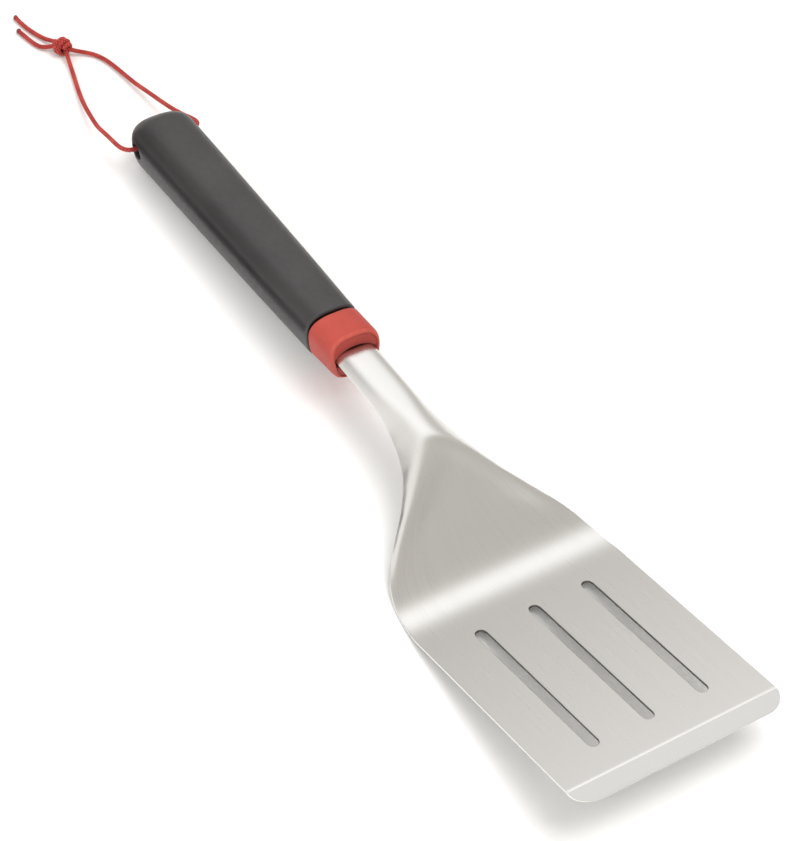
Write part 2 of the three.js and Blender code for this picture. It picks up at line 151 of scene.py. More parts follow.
def new_piece(name, points, faces, body, material):
    """A smooth-shaded mesh object of metre points that rides on a body."""
    mesh = new_mesh(name, points, faces)
    mesh.validate()
    mesh.shade_smooth()
    mesh.materials.append(material)
    piece = new_object(name, mesh)
    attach(piece, body)
    return piece


def paint(piece, name, values):
    """A number at each vertex, which the material reads by name."""
    layer = piece.data.attributes.new(name, "FLOAT", "POINT")
    layer.data.foreach_set("value", np.asarray(values, np.float32))


def skin(rings, closed=False, cap_start=False, cap_end=False):
    """Points and quads of rings joined one to the next; a cap is a fan to the middle."""
    count = len(rings[0])
    points = [p for ring in rings for p in ring]
    pairs = [(r, r + 1) for r in range(len(rings) - 1)]
    if closed:
        pairs.append((len(rings) - 1, 0))
    faces = []
    for a, b in pairs:
        for i in range(count):
            j = (i + 1) % count
            faces.append((a * count + i, a * count + j, b * count + j, b * count + i))
    for wanted, r, turn in ((cap_start, 0, -1), (cap_end, len(rings) - 1, 1)):
        if wanted:
            points.append(np.mean(rings[r], axis=0))
            for i in range(count):
                edge = (r * count + i, r * count + (i + 1) % count)
                faces.append((*edge[::turn], len(points) - 1))
    return points, faces


# ---- node tools ----


def new_material(name):
    made = bpy.data.materials.new(name)
    made.use_nodes = True
    return made, made.node_tree, made.node_tree.nodes["Principled BSDF"]


def plug(tree, socket, value):
    """Links a socket to an output, or gives it a number or colour of its own."""
    if isinstance(value, bpy.types.NodeSocket):
        tree.links.new(value, socket)
    else:
        socket.default_value = value


def feed(tree, node, **values):
    """Plugs a node's inputs by name; an underscore stands for a space."""
    for name, value in values.items():
        plug(tree, node.inputs[name.replace("_", " ")], value)


def noise(tree, scale, detail=3.0, rough=0.55, vector=None):
    """Noise in object space, or along the vector; scale is features per unit along X, Y and Z."""
    if vector is None:
        vector = tree.nodes.new("ShaderNodeTexCoord").outputs["Object"]
    mapping = tree.nodes.new("ShaderNodeMapping")
    feed(tree, mapping, Scale=scale, Vector=vector)
    texture = tree.nodes.new("ShaderNodeTexNoise")
    feed(tree, texture, Scale=1.0, Detail=detail, Roughness=rough, Vector=mapping.outputs["Vector"])
    return texture.outputs["Fac"]


def spread(tree, value, low, high, start=0.35, end=0.65):
    """Value remapped from start..end to low..high."""
    node = tree.nodes.new("ShaderNodeMapRange")
    feed(tree, node, Value=value, From_Min=start, From_Max=end, To_Min=low, To_Max=high)
    return node.outputs["Result"]


def calc(tree, kind, a, b):
    """One sum of two values, each a number or a socket."""
    node = tree.nodes.new("ShaderNodeMath")
    node.operation = kind
    plug(tree, node.inputs[0], a)
    plug(tree, node.inputs[1], b)
    return node.outputs["Value"]


def blend_colour(tree, factor, a, b):
    """From colour a to colour b, each a tuple or a socket."""
    node = tree.nodes.new("ShaderNodeMix")
    node.data_type = "RGBA"
    tree.links.new(factor, node.inputs["Factor"])
    for socket, colour in ((node.inputs[6], a), (node.inputs[7], b)):
        plug(tree, socket, (*colour, 1) if isinstance(colour, tuple) else colour)
    return node.outputs[2]


def painted(tree, name):
    """The number that paint() left at each vertex."""
    node = tree.nodes.new("ShaderNodeAttribute")
    node.attribute_name = name
    return node.outputs["Fac"]


def bump(tree, shader, height, distance, strength):
    node = tree.nodes.new("ShaderNodeBump")
    feed(tree, node, Distance=distance, Strength=strength, Height=height)
    feed(tree, shader, Normal=node.outputs["Normal"])


# ---- materials ----
STEEL_DARK, STEEL_LIGHT = (0.78, 0.768, 0.745), (0.83, 0.818, 0.798)
STEEL_GROUND = (0.90, 0.885, 0.86)
# Painted shade for the slots' inner walls.
STEEL_SLOT_SHADE = (0.16, 0.15, 0.14)
RED_DARK, RED_LIGHT = (0.39, 0.052, 0.040), (0.48, 0.072, 0.053)
RED_WORN, RED_SHADE = (0.76, 0.17, 0.13), (0.05, 0.008, 0.006)
GRIP_DARK, GRIP_LIGHT, GRIP_WORN = (0.015, 0.012, 0.0135), (0.023, 0.019, 0.021), (0.060, 0.055, 0.057)
GRIP_SHADE = (0.003, 0.003, 0.003)
BRAID_DARK, BRAID_LIGHT, BRAID_SHADE = (0.46, 0.030, 0.024), (0.68, 0.075, 0.055), (0.03, 0.001, 0.001)
MELTED_DARK, MELTED_LIGHT, SINGED = (0.16, 0.012, 0.010), (0.42, 0.035, 0.025), (0.035, 0.028, 0.026)
CORE_DARK, CORE_LIGHT = (0.006, 0.006, 0.007), (0.014, 0.013, 0.014)


def steel_material():
    """Satin steel, brushed from the handle to the front edge."""
    made, tree, shader = new_material("brushed_steel_skin")
    flat = tree.nodes.new("ShaderNodeUVMap")
    flat.uv_map = "across"
    long_lines = noise(tree, (150, 0.9, 0), 2, vector=flat.outputs["UV"])
    short_lines = noise(tree, (210, 9, 0), 3, vector=flat.outputs["UV"])
    clouds = noise(tree, (14, 14, 14), 2)
    most, rest = calc(tree, "MULTIPLY", long_lines, 0.7), calc(tree, "MULTIPLY", short_lines, 0.3)
    lines = calc(tree, "ADD", most, rest)
    base = blend_colour(tree, spread(tree, lines, 0, 1, 0.15, 0.85), STEEL_DARK, STEEL_LIGHT)
    clouded = blend_colour(tree, spread(tree, clouds, 0, 0.35), base, STEEL_DARK)
    ground = blend_colour(tree, painted(tree, "ground"), clouded, STEEL_GROUND)
    # The faces inside the slots get painted shade.
    finished = blend_colour(tree, painted(tree, "slot_shade"), ground, STEEL_SLOT_SHADE)
    roughness = spread(tree, lines, 0.27, 0.34)
    feed(tree, shader, Base_Color=finished, Roughness=roughness, Metallic=1.0, Anisotropic=0.6)
    tangent = tree.nodes.new("ShaderNodeTangent")
    tangent.direction_type = "UV_MAP"
    tangent.uv_map = "across"
    feed(tree, shader, Tangent=tangent.outputs["Tangent"])
    bump(tree, shader, lines, 0.000003, 0.5)
    return made


def grained_material(name, scale, detail, colours, roughness, depth, strength):
    """A surface whose colour, roughness and relief all follow one noise."""
    made, tree, shader = new_material(name)
    grain = noise(tree, scale, detail)
    base = blend_colour(tree, spread(tree, grain, 0, 1), *colours)
    feed(tree, shader, Base_Color=base, Roughness=spread(tree, grain, *roughness))
    bump(tree, shader, grain, depth, strength)
    return made, tree, shader, base


def pin_material():
    """Drawn steel of the hidden pins."""
    made, tree, shader, _ = grained_material(
        "pin_steel_skin", (1500, 60, 1500), 2, (STEEL_DARK, STEEL_LIGHT), (0.3, 0.42), 0.00003, 0.5
    )
    feed(tree, shader, Metallic=1.0)
    return made


def moulded_material(name, colours, rough, grain):
    """Moulded plastic or rubber: cloudy tone, paler worn edges and shade where the mesh marks it."""
    dark, light, worn, shade = colours
    made, tree, shader = new_material(name)
    fine = noise(tree, (grain,) * 3, 2, 0.6)
    clouds = noise(tree, (35, 35, 35), 4)
    specks = noise(tree, (420, 420, 420), 4, 0.7)
    base = blend_colour(tree, spread(tree, clouds, 0, 1), dark, light)
    flecked = blend_colour(tree, spread(tree, specks, 0, 0.18, 0.6, 0.75), base, worn)
    rubbed = calc(tree, "MULTIPLY", painted(tree, "wear"), spread(tree, specks, 0.45, 1))
    finished = blend_colour(tree, rubbed, flecked, worn)
    roughness = spread(tree, specks, rough - 0.04, rough + 0.06)
    bump(tree, shader, fine, 0.00006, 0.7)
    shaded = blend_colour(tree, painted(tree, "shade"), finished, shade)
    feed(tree, shader, Base_Color=shaded, Roughness=roughness)
    return made, tree, shader


def collar_material():
    colours = RED_DARK, RED_LIGHT, RED_WORN, RED_SHADE
    made, tree, shader = moulded_material("red_plastic_skin", colours, 0.52, 2600)
    feed(tree, shader, Specular_IOR_Level=0.35)
    return made


def grip_material():
    colours = GRIP_DARK, GRIP_LIGHT, GRIP_WORN, GRIP_SHADE
    made, tree, shader = moulded_material("soft_grip_skin", colours, 0.42, 3200)
    feed(tree, shader, Specular_IOR_Level=0.95, Sheen_Weight=0.03, Sheen_Roughness=0.5)
    return made


def braid_material():
    """Matt polyester yarn, with painted shade in the crevices between the strands."""
    made, tree, shader = new_material("braid_skin")
    fibres = noise(tree, (5200, 5200, 5200), 2)
    clouds = noise(tree, (160, 160, 160), 3)
    base = blend_colour(tree, spread(tree, clouds, 0, 1), BRAID_DARK, BRAID_LIGHT)
    # Painted shade in the crevices between the strands.
    deep = blend_colour(tree, painted(tree, "crevice_shade"), base, BRAID_SHADE)
    feed(tree, shader, Base_Color=deep, Roughness=spread(tree, fibres, 0.62, 0.82))
    feed(tree, shader, Sheen_Weight=0.12, Sheen_Roughness=0.4)
    bump(tree, shader, fibres, 0.00006, 0.6)
    return made


def melted_material():
    """Cord end, singed dark and glossier than the braid."""
    made, tree, shader, base = grained_material(
        "melted_braid_skin", (900, 900, 900), 3, (MELTED_DARK, MELTED_LIGHT), (0.35, 0.6), 0.0002, 0.7
    )
    feed(tree, shader, Base_Color=blend_colour(tree, painted(tree, "singe"), base, SINGED))
    return made


def core_material():
    """Black glass-filled plastic inside the grip."""
    return grained_material(
        "hard_core_skin", (1400, 1400, 1400), 3, (CORE_DARK, CORE_LIGHT), (0.5, 0.65), 0.00006, 0.6
    )[0]


# ---- hanging loop ----
# The routes of the branches and tails: (back, side, height).
LEFT_ROUTE = [
    (396, 0, 15.6), (396, -8, 15.6), (396, -13.8, 15.6), (396.6, -16.7, 15.5),
    (399.4, -18.4, 14.9), (404, -18.6, 13.4), (411, -17.9, 11.1), (418.5, -17.4, 9),
    (426, -17, 7), (435, -15.5, 5.2), (444, -13.8, 3.8), (452, -11.8, 2.6),
    (459.4, -9.7, 2), (467, -7.4, 1.7), (474, -5.4, 2), (480.5, -3.8, 3), (482.8, -3.3, 3.6),
]
RIGHT_ROUTE = [
    (396, 0, 15.6), (396, 8, 15.6), (396, 13.6, 15.6), (396, 17.2, 15.8),
    (397.8, 20.2, 15.9), (402.6, 21.2, 14.4), (411.8, 19.6, 11.6), (421, 18.5, 9.1),
    (430, 18, 6.7), (440, 17.2, 4.6), (449, 16, 3.1), (458, 15, 2.2), (466.9, 13.8, 1.7),
    (474, 12, 1.6), (479.5, 8.8, 1.7), (482.5, 4.6, 2.3), (484, 0.8, 3.6),
]
UPPER_TAIL = [
    (493.2, -4, 4), (496.6, -5.2, 2.8), (501, -6.8, 1.7), (506, -8.5, 1.5),
    (511.6, -10.1, 1.5), (516, -10.8, 1.5), (519.6, -11.2, 1.5),
]
LOWER_TAIL = [
    (491.4, -6.1, 3.6), (492.8, -8.8, 2.6), (495.6, -11, 1.7), (500.2, -12.6, 1.5),
    (505.4, -13.6, 1.5), (509.8, -14.4, 1.5),
]
LEFT_IN_KNOT = [(487, -2.4, 4.2), (490.4, -3.1, 4.4)]
RIGHT_IN_KNOT = [(486.5, -1.8, 4.0), (489.3, -3.8, 4.0)]
STRANDS = 4  # of the braid, each way
BRAID_PITCH = 6.0  # one strand's advance in a turn
BRAID_RELIEF = 0.3  # depth of its crevices
AROUND = 32  # points round a cord
STEP = 0.14  # between its rings
CURVE_STEPS = 24  # of a route, point to point, before it is made even
RELAX_ROUNDS = 240
SEALED = 0.3  # gap from a tail to its sealed end
SEAL_SIDES = 28
SEAL_PROFILE = [  # (radius, distance past the gap)
    (1.02, -0.1), (1.12, 0.15), (1.24, 0.6), (1.26, 1.0), (1.2, 1.3), (1.06, 1.48), (0.8, 1.5),
    (0.5, 1.42), (0.2, 1.38),
]
KNOT_CENTRE = (488, -3, 4.6)
KNOT_AXIS = (-1.0, -0.25, 0.0)
KNOT_TURNS, KNOT_START = 3.1, 0.6
KNOT_LENGTH, KNOT_WIDE, KNOT_TALL = 6.6, 3.7, 3.4  # of the wraps' middle line


def catmull_rom(points, step):
    """Centripetal Catmull-Rom curve through the points, sampled evenly."""
    points = np.asarray(points, float)
    points = np.vstack([2 * points[0] - points[1], points, 2 * points[-1] - points[-2]])
    samples = []
    for i in range(1, len(points) - 2):
        near = points[i - 1:i + 3]
        knots = np.concatenate([[0], np.cumsum(np.linalg.norm(np.diff(near, axis=0), axis=1) ** 0.5)])
        t = np.linspace(knots[1], knots[2], CURVE_STEPS, endpoint=False)[:, None]

        def between(a, b, i, j):
            return ((knots[j] - t) * a + (t - knots[i]) * b) / (knots[j] - knots[i])

        firsts = [between(near[k], near[k + 1], k, k + 1) for k in range(3)]
        seconds = [between(firsts[k], firsts[k + 1], k, k + 2) for k in range(2)]
        samples.append(between(seconds[0], seconds[1], 1, 2))
    line = np.vstack([*samples, points[-2:-1]])
    return even(line, step)


def even(line, step):
    """The same line with points a step apart."""
    along = np.concatenate([[0], np.cumsum(np.linalg.norm(np.diff(line, axis=0), axis=1))])
    places = np.linspace(0, along[-1], int(round(along[-1] / step)) + 1)
    return np.stack([np.interp(places, along, line[:, k]) for k in range(3)], axis=1)


def relaxed(line):
    """The line with its small kinks smoothed out; its ends stay."""
    line = line.copy()
    for _ in range(RELAX_ROUNDS):
        line[1:-1] = (line[:-2] + 2 * line[1:-1] + line[2:]) / 4
    return even(line, STEP)


def frames_along(line):
    """Two directions across the line at each point, which turn as little as they can."""
    tangents = unit(np.gradient(line, axis=0))
    first = unit(np.cross(tangents[0], [0.0, 0.0, 1.0]))
    across = [first]
    for tangent in tangents[1:]:
        across.append(unit(across[-1] - tangent * across[-1].dot(tangent)))
    across = np.array(across)
    return across, np.cross(tangents, across)


def braid_relief(turn, along):
    """Height of the outermost strand, 0 to 1; each strand runs over one and under one."""
    twist = along / BRAID_PITCH
    u = STRANDS * (turn + twist)
    v = STRANDS * (turn - twist)
    round_u = np.sqrt(np.maximum(0, 1 - (2 * (u % 1) - 1) ** 2))
    round_v = np.sqrt(np.maximum(0, 1 - (2 * (v % 1) - 1) ** 2))
    over_u = 0.5 * np.cos(math.pi * (v - 0.5 + np.floor(u)))
    over_v = -0.5 * np.cos(math.pi * (u - 0.5 + np.floor(v)))
    height = np.maximum(over_u + 0.8 * round_u, over_v + 0.8 * round_v)
    return clamp01((height - 0.2) / 1.0)


def braided(line):
    """Points, faces and painted crevice shade of a braided tube along a line of millimetre points."""
    across, up = frames_along(line)
    turn = np.arange(AROUND) / AROUND
    along = np.arange(len(line)) * STEP
    relief = braid_relief(turn[None, :], along[:, None])
    reach = (CORD / 2 - BRAID_RELIEF * (1 - relief))[..., None]
    angle = (turn * 2 * math.pi)[None, :, None]
    rings = line[:, None] + reach * (np.cos(angle) * across[:, None] + np.sin(angle) * up[:, None])
    points, faces = skin(list(rings * MM), cap_start=True, cap_end=True)
    # Painted shade, darker where the strands lie low.
    crevice_shade = np.concatenate([smooth((0.95 - relief) / 0.6).ravel(), [1, 1]])
    return points, faces, crevice_shade


def in_frame(route):
    """The route's points in the shared frame, in millimetres."""
    return np.array([place(*p) / MM for p in route])


def make_cord(name, route, nodes, material):
    line = relaxed(catmull_rom(in_frame(route), STEP))
    points, faces, crevice_shade = braided(line)
    piece = new_piece(name, points, faces, "hang_loop", material)
    paint(piece, "crevice_shade", crevice_shade)
    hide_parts(*nodes)


def make_tip(name, tail, node, material, slant):
    """A cut end, melted into a slightly swollen dark rim."""
    before, end = in_frame(tail[-2:])
    direction = unit(end - before)
    across = unit(np.cross(direction, [0.0, 0.0, 1.0]))
    up = np.cross(across, direction)
    rings = []
    for radius, reach in SEAL_PROFILE:
        ring = []
        for i in range(SEAL_SIDES):
            angle = 2 * math.pi * i / SEAL_SIDES
            wobble = 1 + 0.05 * math.sin(3 * angle + reach) + 0.03 * math.sin(7 * angle + 2)
            lean = slant * math.cos(angle) * smooth(reach / 1.2)
            out = across * math.cos(angle) + up * math.sin(angle)
            ring.append((end + direction * (SEALED + reach + lean) + out * radius * wobble) * MM)
        rings.append(ring)
    points, faces = skin(rings, cap_start=True, cap_end=True)
    piece = new_piece(name, points, faces, "hang_loop", material)
    piece.data.set_sharp_from_angle(angle=math.radians(50))
    singe = [smooth((reach - 0.4) / 0.9) for _, reach in SEAL_PROFILE for _ in range(SEAL_SIDES)]
    paint(piece, "singe", [*singe, 0, 1])
    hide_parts(node)
    return piece


def knot_line():
    """Doubled wraps round the crossing strands, with their ends tucked in."""
    t = np.linspace(0, 1, 400)
    angle = 2 * math.pi * KNOT_TURNS * t + KNOT_START
    swell = np.sin(math.pi * clamp01(0.12 + 0.76 * t)) ** 0.5
    along = (t - 0.5) * KNOT_LENGTH
    centre = place(*KNOT_CENTRE) / MM
    axis = unit(np.array(KNOT_AXIS))
    side = unit(np.cross([0.0, 0.0, 1.0], axis))
    up = np.array([0.0, 0.0, 1.0])
    out = np.cos(angle)[:, None] * side * KNOT_WIDE + np.sin(angle)[:, None] * up * KNOT_TALL
    line = centre + axis * along[:, None] + out * swell[:, None]
    return even(line, STEP)


def make_knot(material):
    points, faces, crevice_shade = braided(knot_line())
    piece = new_piece("cord_knot_wraps", points, faces, "hang_loop", material)
    paint(piece, "crevice_shade", crevice_shade)
    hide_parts("cord_knot")
    return piece


def make_loop():
    braid, melted = braid_material(), melted_material()
    knot = make_knot(braid)
    upper = make_tip("tail_end_upper", UPPER_TAIL, "cord_tip_upper", melted, 0.35)
    lower = make_tip("tail_end_lower", LOWER_TAIL, "cord_tip_lower", melted, 0.05)
    left = LEFT_ROUTE + LEFT_IN_KNOT + UPPER_TAIL
    right = RIGHT_ROUTE + RIGHT_IN_KNOT + LOWER_TAIL
    make_cord("cord_left_branch", left, ("hang_cord_left", "cord_tail_upper"), braid)
    make_cord("cord_right_branch", right, ("hang_cord_right", "cord_tail_lower"), braid)


make_loop()

# ---- steel head ----
shoulder_width = curve_through([
    (101, 50), (113.8, 48.6), (123.7, 46.2), (130.5, 43.2), (138.5, 37.7), (145.5, 31.4),
    (151.9, 25.5), (158.8, 20.5), (166.4, 16.5), (177, 13.2), (190, 11), (205, 10.2),
    (236, 10), (252, 8), (TANG_END, 7),
])
rim_height = curve_through([
    (130, 3.7), (138.5, 6.8), (145.5, 11.4), (151.9, 15.8), (158.8, 19.4), (166.4, 22.3),
    (177, 24), (190, 24.4), (205, 24.6), (232, 24.3), (258, 23.4), (TANG_END, 18.6),
])
ridge_height = curve_through([
    (160, 31.4), (177, 31), (210, 29.9), (232, 29.1), (258, 26), (TANG_END, 20.4),
])
HEEL_FRONT = HEEL_BACK - HEEL_RADIUS * math.sin(BLADE_TILT)
HEEL_REAR = HEEL_BACK + HEEL_RADIUS * math.sin(PANEL_TILT)
BEND_LIFT = SHEET + HEEL_RADIUS * (1 - math.cos(BLADE_TILT))
BEVEL_HEIGHT = BEND_LIFT + HEEL_FRONT * math.tan(BLADE_TILT)
PANEL_LIFT = SHEET + HEEL_RADIUS * (1 - math.cos(PANEL_TILT))
BEND_ROUND = 1.2  # half length of the rounding at the front strip's bend

APEX_BACK, APEX_RADIUS, WEDGE_SLOPE = 165.0, 10.6, 1.18
APEX_CENTRE = APEX_BACK - APEX_RADIUS
WEDGE_NORM = math.hypot(1, WEDGE_SLOPE)
WEDGE_BACK = APEX_CENTRE + APEX_RADIUS * WEDGE_NORM / WEDGE_SLOPE
FILLET = 6.5  # width of the step from the rolls down to the panel
FADE_FRONT, FADE_REAR = 124.0, 142.0  # the side rolls fade out over this stretch
SEAM_DIP, SEAM_REACH = 0.8, 3.2  # softens where the rolls run into the neck's ridge
RIM_START = 130  # the rim leaves the panel's line behind this
ROLL_MIN = 2.5  # least width of a side roll
NECK_FROM, NECK_OVER = 172, 33  # the section turns from a low arch into a box here
ARCH_ROUNDNESS, ARCH_RISE = 2, 1
BOX_ROUNDNESS, BOX_RISE = 3, 0.45


def panel_height(back):
    """Front strip, blade, heel bend and sloping panel along the middle."""
    front = BEVEL_HEIGHT + back * math.tan(BEVEL_TILT)
    blade = BEVEL_HEIGHT - back * math.tan(BLADE_TILT)
    t = clamp01((back + BEND_ROUND) / (2 * BEND_ROUND))
    start = BEVEL_HEIGHT - BEND_ROUND * math.tan(BEVEL_TILT)
    rounded = start + 2 * BEND_ROUND * (
        math.tan(BEVEL_TILT) * (t - t**2 / 2) - math.tan(BLADE_TILT) * t**2 / 2
    )
    heel = SHEET + HEEL_RADIUS - np.sqrt(np.maximum(HEEL_RADIUS**2 - (back - HEEL_BACK) ** 2, 1))
    panel = PANEL_LIFT + (back - HEEL_REAR) * math.tan(PANEL_TILT)
    height = np.where(back < 0, front, blade)
    height = np.where(np.abs(back) < BEND_ROUND, rounded, height)
    height = np.where(back > HEEL_FRONT, heel, height)
    return np.where(back > HEEL_REAR, panel, height)


def recess_half_width(back):
    """Half width of the recess, a wedge with a rounded apex."""
    tangent_back = APEX_CENTRE + APEX_RADIUS * WEDGE_SLOPE / WEDGE_NORM
    arc = np.sqrt(np.maximum(APEX_RADIUS**2 - (back - APEX_CENTRE) ** 2, 0))
    width = np.where(back > tangent_back, arc, WEDGE_SLOPE * (WEDGE_BACK - back))
    return np.where(back >= APEX_BACK, 0, width)


def recess_inside(back, side):
    """How far a point lies inside the recess's edge."""
    line = (WEDGE_SLOPE * (WEDGE_BACK - back) - side) / WEDGE_NORM
    in_round = (back > APEX_CENTRE) & (side < (back - APEX_CENTRE) / WEDGE_SLOPE)
    return np.where(in_round, APEX_RADIUS - np.hypot(back - APEX_CENTRE, side), line)


def crest_height(back):
    """Top of the side rolls, and of the ridge behind them."""
    rolled = panel_height(back) + FLANGE * smooth((back - FADE_FRONT) / (FADE_REAR - FADE_FRONT))
    ridge = ridge_height(back)
    apart = np.abs(rolled - ridge)
    return np.minimum(rolled, ridge) - SEAM_DIP * clamp01(1 - apart / SEAM_REACH) ** 2


def top_height(back, side):
    """Height of the steel's upper face."""
    base, half, crest = panel_height(back), shoulder_width(back), crest_height(back)
    rim = np.minimum(crest, np.where(back < RIM_START, base, rim_height(back)))
    roll_width = half - np.minimum(recess_half_width(back), half - ROLL_MIN)
    across = clamp01((half - side) / roll_width)
    boxy = smooth((back - NECK_FROM) / NECK_OVER)
    roundness = mix(ARCH_ROUNDNESS, BOX_ROUNDNESS, boxy)
    rise = (1 - (1 - across) ** roundness) ** mix(ARCH_RISE, BOX_RISE, boxy)
    outer = mix(rim, crest, rise)
    inside = smooth(recess_inside(back, side) / FILLET)
    height = np.where(back > APEX_BACK, outer, mix(outer, np.minimum(base, outer), inside))
    return np.where(back < FADE_FRONT, base, height)


JOIN_BACK = 95.0  # where the blade's triangles meet the panel's grid
COLUMNS = 96  # of the grid, rim to rim
ROW_STEP = 0.9  # of the grid, as far as NECK_HIDDEN
NECK_HIDDEN = 234  # the collar hides the neck behind this
TANG_START = 262
SMOOTH_BOTH, SMOOTH_ALONG = 10, 26  # rounds of smoothing both ways, then only along
EDGE_ROUND = 0.25  # rounding of the sheet's edges
EDGE_PROFILE = ((0.18, 0.07), (0.25, 0.25), (0.25, -0.25), (0.18, -0.07))  # (outwards, down or up)
SLOT_ARC_STEPS, SLOT_EDGE = 16, 5
SLOT_SIDES = (-SLOT_PITCH, 0, SLOT_PITCH)
PLAN = math.cos(BLADE_TILT)  # a length along the blade, seen from above
SLOT_FROM, SLOT_TO = (SLOT_FRONT + SLOT_HALF) * PLAN, (SLOT_REAR - SLOT_HALF) * PLAN
NEAR_BEND = (-6, -4.4, -2.8, -1.8, -BEND_ROUND, -0.6, 0, 0.6, BEND_ROUND, 1.8, 2.4, 5)
MESH_HALF = 46  # the blade's inner points stay within this


def grid_sides(back):
    """Places across the sheet, denser at the rims where the neck's walls are steep."""
    t = np.linspace(-1, 1, COLUMNS + 1)
    boxy = smooth((back - 150) / 30)
    share = mix(t, np.sin(t * math.pi / 2), boxy)
    return share * (shoulder_width(back) - EDGE_ROUND)


def grid_rows():
    """The panel and neck: a grid of points from the join to the tang's end."""
    stations = np.concatenate([
        np.arange(JOIN_BACK, NECK_HIDDEN, ROW_STEP), np.arange(NECK_HIDDEN, TANG_START, 3.5),
        np.linspace(TANG_START, TANG_END, 8),
    ])
    sides = np.array([grid_sides(back) for back in stations])
    backs = np.repeat(stations[:, None], sides.shape[1], axis=1)
    heights = top_height(backs, np.abs(sides))
    for across in [True] * SMOOTH_BOTH + [False] * SMOOTH_ALONG:
        inner = heights.copy()
        inner[1:-1] = (heights[:-2] + 2 * heights[1:-1] + heights[2:]) / 4
        heights = inner.copy()
        if across:
            heights[:, 1:-1] = (inner[:, :-2] + 2 * inner[:, 1:-1] + inner[:, 2:]) / 4
    heights[0] = panel_height(backs[0])
    return backs, sides, heights


def slot_outline(side):
    """Points round one slot, in (back, side)."""
    half = SLOT_HALF + EDGE_ROUND
    points = []
    for centre, start in ((SLOT_TO, -90), (SLOT_FROM, 90)):
        for i in range(SLOT_ARC_STEPS + 1):
            angle = math.radians(start + 180 * i / SLOT_ARC_STEPS)
            points.append((centre + half * PLAN * math.cos(angle), side + half * math.sin(angle)))
    straight = []
    for a, b in zip(points, points[1:] + points[:1]):
        count = max(1, int(math.dist(a, b) / SLOT_EDGE))
        straight += [tuple(mix(np.array(a), np.array(b), i / count)) for i in range(count)]
    return straight


def blade_outline():
    """The blade's edge from the join at -Y, round the front, to the join at +Y."""
    half = BLADE_HALF - EDGE_ROUND
    length = BEVEL_LENGTH - EDGE_ROUND
    sides = [*np.arange(JOIN_BACK - 5, 3, -5), 2.4, 1.8, BEND_ROUND, 0.6, 0, -0.6, -BEND_ROUND]
    near = [(b, -edge_half(b, NEAR_CORNER, half, length)) for b in sides]
    far = [(b, edge_half(b, FAR_CORNER, half, length)) for b in sides[::-1]]
    arc = np.radians(np.linspace(12, 90, 14))
    near += [(-length * math.sin(a), -half + NEAR_CORNER * (1 - math.cos(a))) for a in arc]
    front = [(-length, y) for y in np.arange(-half + NEAR_CORNER + 3, half - FAR_CORNER - 1, 3)]
    corner = [(-length * math.sin(a), half - FAR_CORNER * (1 - math.cos(a))) for a in arc[::-1]]
    return near + front + corner + far


def edge_half(back, corner, half, length):
    """The blade's half width; its rounded corner is as long as the front strip."""
    if back >= 0:
        return half
    along = clamp01(-back / length)
    return half - corner * (1 - math.sqrt(1 - along**2))


def blade_mesh(join_sides):
    """Triangles of the slotted blade, as (back, side) points and faces."""
    join = [(JOIN_BACK, y) for y in join_sides[::-1]]
    loops = [blade_outline() + join] + [slot_outline(y) for y in SLOT_SIDES]
    verts, edges = [], []
    for loop in loops:
        first = len(verts)
        verts += loop
        edges += [(first + i, first + (i + 1) % len(loop)) for i in range(len(loop))]
    for back in NEAR_BEND:
        sides = np.arange(-MESH_HALF, MESH_HALF + 1, 2.0)
        verts += [(back, y) for y in sides if clear_of_corner(back, y)]
    for back in np.arange(10, JOIN_BACK - 1, 4.4):
        sides = np.arange(-MESH_HALF, MESH_HALF + 1, 4.0)
        verts += [(back, y) for y in sides if clear_of_slots(back, y)]
    found = delaunay_2d_cdt([Vector(v) for v in verts], edges, [], 1, 1e-6)
    points = np.array([tuple(v) for v in found[0]])
    faces = [f for f in found[2] if not in_slot(points[list(f)].mean(axis=0))]
    return points, faces


def clear_of_corner(back, side):
    """Whether a point is well inside the blade's rounded front corners."""
    corner = NEAR_CORNER if side < 0 else FAR_CORNER
    return abs(side) < edge_half(back, corner, BLADE_HALF, BEVEL_LENGTH) - 1


def slot_distance(back, side):
    """How far a point lies outside the nearest slot's edge."""
    beyond = max(SLOT_FROM - back, back - SLOT_TO, 0)
    return min(math.hypot(beyond / PLAN, side - y) for y in SLOT_SIDES) - SLOT_HALF


def clear_of_slots(back, side):
    return slot_distance(back, side) > 1.2


def in_slot(point):
    return slot_distance(*point) < EDGE_ROUND * 0.6


def head_top():
    """Upper face of the whole head: points in millimetres of the frame, and faces."""
    backs, sides, heights = grid_rows()
    plan, faces = blade_mesh(sides[0])
    blade = np.stack([BEVEL_X - plan[:, 0], plan[:, 1], panel_height(plan[:, 0])], axis=1)
    grid = np.stack([BEVEL_X - backs, sides, heights], axis=2)
    rows, columns = backs.shape
    index = np.arange(rows * columns).reshape(rows, columns) + len(blade)
    for c in range(columns):
        index[0, c] = int(np.argmin(np.linalg.norm(blade - grid[0, c], axis=1)))
    points = np.vstack([blade, grid.reshape(-1, 3)])
    for r in range(rows - 1):
        for c in range(columns - 1):
            faces.append((index[r, c], index[r + 1, c], index[r + 1, c + 1], index[r, c + 1]))
    return facing_up(points, faces)


def facing_up(points, faces):
    """The used points only, and every face turned to look upwards."""
    used = sorted({int(i) for f in faces for i in f})
    fresh = {old: new for new, old in enumerate(used)}
    points = points[used]
    turned = []
    for face in faces:
        face = [fresh[int(i)] for i in face]
        a, b, c = points[face[0]], points[face[1]], points[face[2]]
        turned.append(face if np.cross(b - a, c - a)[2] > 0 else face[::-1])
    return points, turned


